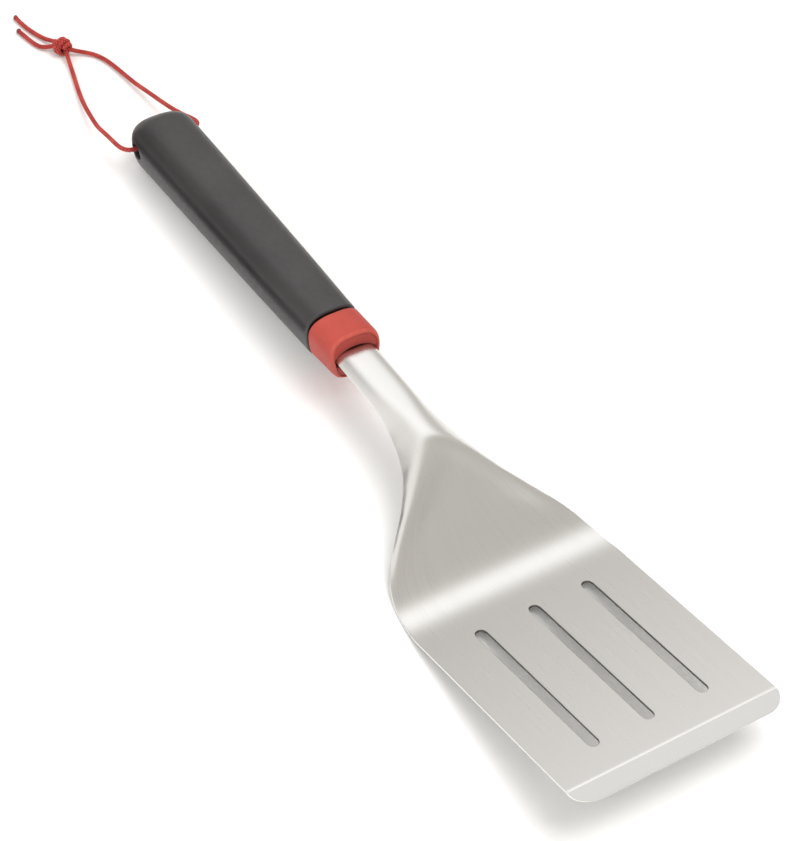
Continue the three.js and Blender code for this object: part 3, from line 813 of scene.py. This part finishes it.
def point_normals(points, faces):
    """Unit normals at the points, weighted by the faces' areas."""
    normals = np.zeros_like(points)
    for face in faces:
        corners = points[list(face)]
        if len(face) == 4:
            normal = np.cross(corners[2] - corners[0], corners[3] - corners[1])
        else:
            normal = np.cross(corners[1] - corners[0], corners[2] - corners[0])
        normals[list(face)] += normal
    return unit(normals)


def edge_loops(faces):
    """Ordered loops of the open edges, in the direction that their faces run."""
    seen = {(f[i], f[(i + 1) % len(f)]) for f in faces for i in range(len(f))}
    after = {a: b for a, b in seen if (b, a) not in seen}
    loops = []
    while after:
        start, step = after.popitem()
        loop = [start]
        while step != start:
            loop.append(step)
            step = after.pop(step)
        loops.append(loop)
    return loops


def sheet_metal(points, faces):
    """Thickens the upper face and rounds its edges: points, faces and the edges' first rows."""
    normals = point_normals(points, faces)
    back = BEVEL_X - points[:, 0]
    thick = mix(EDGE_SHEET, SHEET, clamp01(1 + back / BEVEL_LENGTH))
    count = len(points)
    solid = [*points, *(points - normals * thick[:, None])]
    skins = [*faces, *([i + count for i in face[::-1]] for face in faces)]
    rim = set()
    for loop in edge_loops(faces):
        rim.update(loop, (i + count for i in loop))
        line = points[loop]
        tangent = unit(np.roll(line, -1, axis=0) - np.roll(line, 1, axis=0))
        out = unit(np.cross(tangent, normals[loop]))
        rows = [loop]
        for reach, depth in EDGE_PROFILE:
            down = depth if depth > 0 else thick[loop] + depth
            rows.append(list(range(len(solid), len(solid) + len(loop))))
            solid += [*(line + out * reach - normals[loop] * np.reshape(down, (-1, 1)))]
        rows.append([i + count for i in loop])
        for upper, lower in zip(rows, rows[1:]):
            for i in range(len(loop)):
                j = (i + 1) % len(loop)
                skins.append((upper[j], upper[i], lower[i], lower[j]))
    return np.array(solid), skins, rim


def slot_walls(solid, first_wall):
    """Painted shade: marks the faces inside the slots, which get a dark colour."""
    marks = np.zeros(len(solid))
    for i in range(first_wall * 2, len(solid)):
        back, side = BEVEL_X - solid[i, 0], solid[i, 1]
        marks[i] = slot_distance(back, side) < 2 * EDGE_ROUND
    return marks


def make_head():
    points, faces = head_top()
    solid, skins, rim = sheet_metal(points, faces)
    piece = new_piece("steel_head", solid * MM, skins, "spatula", steel_material())
    for edge in piece.data.edges:
        edge.use_edge_sharp = rim.issuperset(edge.vertices)
    back = BEVEL_X - solid[:, 0]
    paint(piece, "ground", 1 - smooth((back + 0.6) / 1.4))
    # Painted shade on the slots' inner walls.
    paint(piece, "slot_shade", slot_walls(solid, len(points)))
    layer = piece.data.uv_layers.new(name="across")
    corners = np.zeros(len(piece.data.loops), int)
    piece.data.loops.foreach_get("vertex_index", corners)
    width = np.where(back > JOIN_BACK, shoulder_width(back), BLADE_HALF)
    flat = np.stack([solid[:, 1] / width * BLADE_HALF, solid[:, 0]], axis=1) * 0.01
    layer.data.foreach_set("uv", flat[corners].astype(np.float32).ravel())
    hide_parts("spatula_head")


make_head()

# ---- collar and grip ----
SECTION_POWER, SECTION_TAPER = 2.8, 0.17
SECTION_POINTS, SECTION_STEPS = 112, 2401
DOME_POWER, DOME_END = 2.3, 0.03  # fullness of the butt, and the share left at its end
TAPER_START = 248
TOP_START, TOP_FALL = 35.2, 0.0378  # the grip's top line
TALL_START, TALL_GROWTH = 26, 0.0245  # and its height, from the taper's start
GRIP_RIM = [(0, 1.0), (0.12, 0.5), (0.45, 0.15), (1, 0)]  # (behind the front, inset)
BORE_SIDES = 40
BORE_FLARE = [(13, BORE_RADIUS), (13.7, 3.95), (14.3, 4.3), (14.9, 4.75), (22, 4.9)]  # (side, radius)
grip_half = curve_through([(230, 12.05), (248, 12.2), (285, 13.1), (325, 13.8), (375, 14.5), (405, 14.8)])
COLLAR_TOP, COLLAR_TALL_FRONT, COLLAR_TALL_REAR, COLLAR_HALF = 36.2, 22.8, 25.3, 12.1
NOSE_HEIGHT, LEAN = 21.0, 5.0  # its front face is furthest forward here, and leans back
COLLAR_SIDES = 144
COLLAR_ANGLES = (np.arange(COLLAR_SIDES) + 0.5) / COLLAR_SIDES * 2 * math.pi
COLLAR_AXIS = np.array([0.0, 26.0])  # (side, height) of the middle that its rings turn about
COLLAR_END = ((0, 0.95), (0, 0.975), (0.15, 0.99), (0.5, 1))  # (before the rear end, scale)
COLLAR_BODY = (16, 12, 8, 5, 3)  # rings behind the front
COLLAR_NOSE = (  # (behind the front, scale), over the nose and into the mouth
    (2.2, 0.997), (1.5, 0.988), (0.9, 0.972), (0.4, 0.948), (0.1, 0.92), (0.0, 0.89),
    (0.25, 0.86), (0.8, 0.84),
)
SPIGOT_DEPTH = 7  # of the core in the collar


def grip_top(back):
    return TOP_START - (back - TAPER_START) * TOP_FALL


def grip_tall(back):
    return TALL_START + (back - TAPER_START) * TALL_GROWTH


def section(top, tall, half):
    """A rounded outline, broad above and narrower below, as (side, height) points."""
    angle = np.linspace(0, 2 * math.pi, SECTION_STEPS)
    across = np.sign(np.cos(angle)) * np.abs(np.cos(angle)) ** (2 / SECTION_POWER)
    up = np.sign(np.sin(angle)) * np.abs(np.sin(angle)) ** (2 / SECTION_POWER)
    outline = np.stack([half * across * (1 + SECTION_TAPER * up), top + tall / 2 * (up - 1)], axis=1)
    along = np.concatenate([[0], np.cumsum(np.linalg.norm(np.diff(outline, axis=0), axis=1))])
    places = np.arange(SECTION_POINTS) / SECTION_POINTS * along[-1]
    return np.stack([np.interp(places, along, outline[:, k]) for k in range(2)], axis=1)


def grip_ring(back, inset, rear):
    """A ring of the grip, shrinking towards its middle over the rounded butt."""
    t = clamp01((back - (rear - DOME)) / DOME)
    scale = max(float((1 - t**DOME_POWER) ** (1 / DOME_POWER)), DOME_END)
    tall, half = (grip_tall(back) - 2 * inset) * scale, (grip_half(back) - inset) * scale
    outline = section(grip_top(back) - grip_tall(back) / 2 + tall / 2, tall, half)
    return [place(back, y, z) for y, z in outline]


def grip_rings(front, rear, inset, body_step):
    """Rings from the front to the end of the rounded butt."""
    body = np.arange(front, rear - DOME, body_step)
    dome = rear - DOME + DOME * np.sin(np.linspace(0, math.pi / 2, 22))
    return [grip_ring(back, inset, rear) for back in [*body, *dome]]


def lathe_across(profile, sides):
    """A solid turned about the bore's axis, from (side, radius) pairs."""
    rings = []
    for side, radius in profile:
        turn = [2 * math.pi * i / sides for i in range(sides)]
        rings.append([
            place(BORE_BACK + radius * math.cos(a), side, BORE_HEIGHT + radius * math.sin(a)) for a in turn
        ])
    return skin(rings, cap_start=True, cap_end=True)


def cut_by(piece, points, faces):
    """Subtracts a solid from the piece."""
    cutter = new_object("cutter", new_mesh("cutter", points, faces))
    for item in (piece, cutter):
        outward(item.data)
    modifier = piece.modifiers.new("cut", "BOOLEAN")
    modifier.operation = "DIFFERENCE"
    modifier.solver = "EXACT"
    modifier.object = cutter
    view = bpy.context.evaluated_depsgraph_get()
    result = bpy.data.meshes.new_from_object(piece.evaluated_get(view))
    piece.modifiers.clear()
    piece.data = result
    bpy.data.objects.remove(cutter)


def outward(mesh):
    """Turns a closed mesh's faces outwards."""
    work = bmesh.new()
    work.from_mesh(mesh)
    bmesh.ops.recalc_face_normals(work, faces=work.faces)
    work.to_mesh(mesh)
    work.free()


def vertex_array(mesh):
    """The mesh's points in millimetres."""
    flat = np.zeros(3 * len(mesh.vertices))
    mesh.vertices.foreach_get("co", flat)
    return flat.reshape(-1, 3) / MM


def make_grip():
    outer = [grip_ring(GRIP_FRONT + back, inset, GRIP_REAR) for back, inset in GRIP_RIM]
    outer += [grip_ring(GRIP_FRONT + 1.5, 0, GRIP_REAR), *grip_rings(GRIP_FRONT + 4, GRIP_REAR, 0, 4.0)]
    cavity = grip_rings(GRIP_FRONT, GRIP_REAR - GRIP_WALL, GRIP_WALL, 8.0)
    points, faces = skin([*cavity[::-1], *outer], cap_start=True, cap_end=True)
    piece = new_piece("soft_grip_body", points, faces, "spatula", grip_material())
    profile = [(-side, radius) for side, radius in BORE_FLARE[::-1]] + BORE_FLARE
    cut_by(piece, *lathe_across(profile, BORE_SIDES))
    piece.data.set_sharp_from_angle(angle=math.radians(40))
    spots = vertex_array(piece.data)
    back = BEVEL_X - spots[:, 0]
    bore = np.hypot(back - BORE_BACK, spots[:, 2] - BORE_HEIGHT)
    paint(piece, "wear", 0.35 * (1 - smooth((bore - 4.4) / 1.2)))
    paint(piece, "shade", 1 - smooth((back - GRIP_FRONT - 0.5) / 0.5))
    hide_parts("grip_shell")


def hit(outline):
    """Where the collar's rays meet a star-shaped outline of (side, height) points."""
    spokes = outline - COLLAR_AXIS
    turn = np.arctan2(spokes[:, 1], spokes[:, 0]) % (2 * math.pi)
    order = np.argsort(turn)
    turn, spokes = turn[order], spokes[order]
    turn = np.concatenate([turn[-1:] - 2 * math.pi, turn, turn[:1] + 2 * math.pi])
    spokes = np.vstack([spokes[-1:], spokes, spokes[:1]])
    made = []
    for angle in COLLAR_ANGLES:
        i = int(np.clip(np.searchsorted(turn, angle), 1, len(turn) - 1))
        a, b = spokes[i - 1], spokes[i]
        ray = np.array([math.cos(angle), math.sin(angle)])
        cross = ray[0] * (b - a)[1] - ray[1] * (b - a)[0]
        t = 0.0 if abs(cross) < 1e-9 else (ray[1] * a[0] - ray[0] * a[1]) / cross
        made.append(COLLAR_AXIS + a + (b - a) * float(clamp01(t)))
    return np.array(made)


def arch(grow):
    """Outline of the passage for the neck."""
    half = float(shoulder_width(COLLAR_FRONT)) + grow
    rim = float(rim_height(COLLAR_FRONT))
    low, rise = rim - SHEET - grow, float(ridge_height(COLLAR_FRONT)) + grow - rim
    turn = np.linspace(0, math.pi, 60)
    curve = [(half * math.cos(a), rim + rise * math.sin(a)) for a in turn]
    floor = [(-half + 2 * half * i / 30, low) for i in range(31)]
    walls = [(s * half, mix(low, rim, i / 6)) for s in (-1, 1) for i in range(1, 6)]
    return np.array(curve + floor + walls)


def collar_lean(height):
    """How far back the collar's front face lies at a height."""
    return LEAN * np.abs((height - NOSE_HEIGHT) / (COLLAR_TOP - NOSE_HEIGHT)) ** 1.5


def collar_rings():
    """Rings over the outside from the rear end to the front, then back through the passage."""
    length = COLLAR_REAR - COLLAR_FRONT

    def body(along, scale):
        tall = mix(COLLAR_TALL_FRONT, COLLAR_TALL_REAR, along / length)
        top = mix(COLLAR_TOP, grip_top(COLLAR_REAR), along / length) - tall * (1 - scale) / 2
        return leaning(hit(section(top, tall * scale, COLLAR_HALF * scale)), along)

    def leaning(outline, along):
        lean = collar_lean(outline[:, 1]) * (1 - along / length)
        return [place(COLLAR_FRONT + along + back, y, z) for (y, z), back in zip(outline, lean)]

    def upright(outline, back):
        return [place(back, y, z) for y, z in outline]

    rings = [body(length - inset, scale) for inset, scale in COLLAR_END]
    rings += [body(along, 1) for along in COLLAR_BODY]
    rings += [body(along, scale) for along, scale in COLLAR_NOSE]
    mouth, face, passage = (hit(arch(grow)) for grow in (1.3, 0.5, 0.3))
    rings += [leaning(mouth, 0.9), leaning(face, 1.3), leaning(face, 1.9)]
    rings += [upright(face, COLLAR_FRONT + 9), upright(passage, COLLAR_FRONT + 9.3)]
    socket_back = COLLAR_REAR - SPIGOT_DEPTH
    rings += [upright(passage, socket_back)]
    tall, half = grip_tall(socket_back) - 2 * GRIP_WALL, grip_half(socket_back) - GRIP_WALL
    socket = hit(section(grip_top(socket_back) - GRIP_WALL, tall, half))
    return rings + [upright(socket, socket_back), upright(socket, COLLAR_REAR)]


def make_collar():
    rings = collar_rings()
    points, faces = skin(rings, closed=True)
    piece = new_piece("collar_shell", points, faces, "spatula", collar_material())
    outward(piece.data)
    piece.data.set_sharp_from_angle(angle=math.radians(38))
    wear, shade = np.zeros(len(rings)), np.zeros(len(rings))
    wear[1:3] = 0.5  # rear edge
    wear[11:15] = 0.25  # nose
    shade[16:] = (0.06, 0.2, 0.4, 0.75, 1, 1, 1, 1, 1)  # mouth, passage and socket
    paint(piece, "wear", np.repeat(wear, COLLAR_SIDES))
    paint(piece, "shade", np.repeat(shade, COLLAR_SIDES))
    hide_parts("collar")


make_grip()
make_collar()


def dress_nodes():
    """Hidden pieces keep their CAD shape and get their own materials."""
    core, pins = core_material(), pin_material()
    for name, skin_material in (("handle_core", core), ("tang_pin_front", pins), ("tang_pin_rear", pins)):
        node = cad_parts[name]
        if not node.material_slots:
            node.data.materials.append(skin_material)
        for entry in node.material_slots:
            entry.material = skin_material


dress_nodes()

# ---- floor and light ----
FLOOR_HALF, FLOOR_PAINT = 6.0, 0.94
# The room's brightness by the angle about Y, from the front (+X) over the top to the back.
ROOM = [
    (0.0, 0.24), (0.1, 0.4), (0.22, 0.58), (0.5, 0.57), (0.6, 0.58), (0.635, 0.78), (0.665, 1.34),
    (0.7, 1.44), (0.75, 1.4), (0.775, 1.05), (0.8, 0.48), (0.83, 0.43), (1.0, 0.62),
]
ROOM_NEAR, ROOM_FAR = 1.00, 0.58  # brightness towards -Y and towards +Y
KEY_POWER, KEY_SIZE, KEY_PLACE = 11.5, 0.9, (0.3, 0.35, 1.35)
FILL_POWER, FILL_ANGLE = 2.2, 52  # lifts the floor's shade beside the handle
FILL_PLACE, FILL_AIM = (-0.30, -0.32, 0.32), (-0.16, -0.06, 0.0)
# Dark cards that the grip reflects as its dark stripe, and a glowing one for the front strip.
FLAG = [(x, -0.35, z) for x, z in (
    (-1.2, 0.02), (-0.315, 0.02), (-0.355, 0.22), (-0.575, 0.61), (-0.68, 0.8), (-1.2, 0.8),
)]
FLAG_TOP = [(x, y, 0.8) for x, y in ((-1.3, -0.35), (-0.68, -0.35), (-0.62, 0.0), (-1.3, 0.0))]
FLAG_LOW = [(x, y, 0.0005) for x, y in ((-0.32, -0.14), (-0.10, -0.14), (-0.06, -0.025), (-0.32, -0.025))]
STRIP_LIGHT = [(x, y, 0.06) for x, y in ((0.186, -0.045), (0.222, -0.045), (0.222, 0.09), (0.186, 0.09))]


def stage_sheet(name, corners, **settings):
    """A flat sheet of the stage, painted with the shader's settings."""
    sheet = new_object(name, new_mesh(name, corners, [range(len(corners))]))
    made, tree, shader = new_material(name + "_paint")
    feed(tree, shader, **settings)
    sheet.data.materials.append(made)
    return sheet


def make_floor():
    corners = [(x * FLOOR_HALF, y * FLOOR_HALF, 0) for x, y in ((-1, -1), (1, -1), (1, 1), (-1, 1))]
    pale = (FLOOR_PAINT, FLOOR_PAINT, FLOOR_PAINT, 1)
    stage_sheet("floor", corners, Base_Color=pale, Roughness=0.9, Specular_IOR_Level=0.1)


def make_card(name, corners, level):
    """A card that is seen only in reflections: a white one glows, a black one doesn't."""
    card = stage_sheet(
        name, corners, Base_Color=(0, 0, 0, 1), Specular_IOR_Level=0,
        Emission_Color=(1, 1, 1, 1), Emission_Strength=level,
    )
    card.visible_camera = False
    card.visible_diffuse = False
    card.visible_transmission = False
    card.visible_shadow = False


def room_colour(level):
    """Half the brightness, as the backdrop's strength is 2; warm where dim."""
    warm = 1 - clamp01(level - 0.4)
    return (level / 2, level / 2 * (1 - 0.04 * warm), level / 2 * (1 - 0.10 * warm))


def make_world():
    world = bpy.data.worlds.new("room")
    world.use_nodes = True
    bpy.context.scene.world = world
    tree = world.node_tree
    coords = tree.nodes.new("ShaderNodeTexCoord")
    parts = tree.nodes.new("ShaderNodeSeparateXYZ")
    feed(tree, parts, Vector=coords.outputs["Generated"])
    angle = calc(tree, "ARCTAN2", parts.outputs["Z"], parts.outputs["X"])
    ramp = tree.nodes.new("ShaderNodeValToRGB")
    feed(tree, ramp, Fac=calc(tree, "DIVIDE", angle, math.pi))
    stops = ramp.color_ramp.elements
    for stop, (position, level) in zip([stops[0], stops[1]], (ROOM[0], ROOM[-1])):
        stop.position = position
        stop.color = (*room_colour(level), 1)
    for position, level in ROOM[1:-1]:
        stops.new(position).color = (*room_colour(level), 1)
    near = spread(tree, parts.outputs["Y"], 1, 0, -0.2, 0.12)
    far = spread(tree, parts.outputs["Y"], 0, 1, 0.52, 0.80)
    nearer = blend_colour(tree, near, ramp.outputs["Color"], room_colour(ROOM_NEAR))
    mixed = blend_colour(tree, far, nearer, room_colour(ROOM_FAR))
    feed(tree, tree.nodes["Background"], Color=mixed, Strength=2.0)


def make_lamp(name, kind, power, spot, aim):
    """The settings of a lamp that isn't seen in reflections."""
    data = bpy.data.lights.new(name, kind)
    data.energy = power
    lamp = new_object(name, data)
    lamp.location = spot
    lamp.rotation_euler = (Vector(aim) - Vector(spot)).to_track_quat("-Z", "Y").to_euler()
    lamp.visible_glossy = False
    return data


def make_lamps():
    key = make_lamp("key", "AREA", KEY_POWER, KEY_PLACE, (0, 0, 0))
    key.shape = "SQUARE"
    key.size = KEY_SIZE
    fill = make_lamp("fill", "SPOT", FILL_POWER, FILL_PLACE, FILL_AIM)
    fill.spot_size = math.radians(FILL_ANGLE)
    fill.spot_blend = 1.0
    fill.shadow_soft_size = 0.1


make_floor()
make_world()
make_lamps()
make_card("flag", FLAG, 0)
make_card("flag_top", FLAG_TOP, 0)
make_card("flag_low", FLAG_LOW, 0)
make_card("strip_light", STRIP_LIGHT, 0.8)
bpy.context.scene.view_settings.view_transform = "Standard"
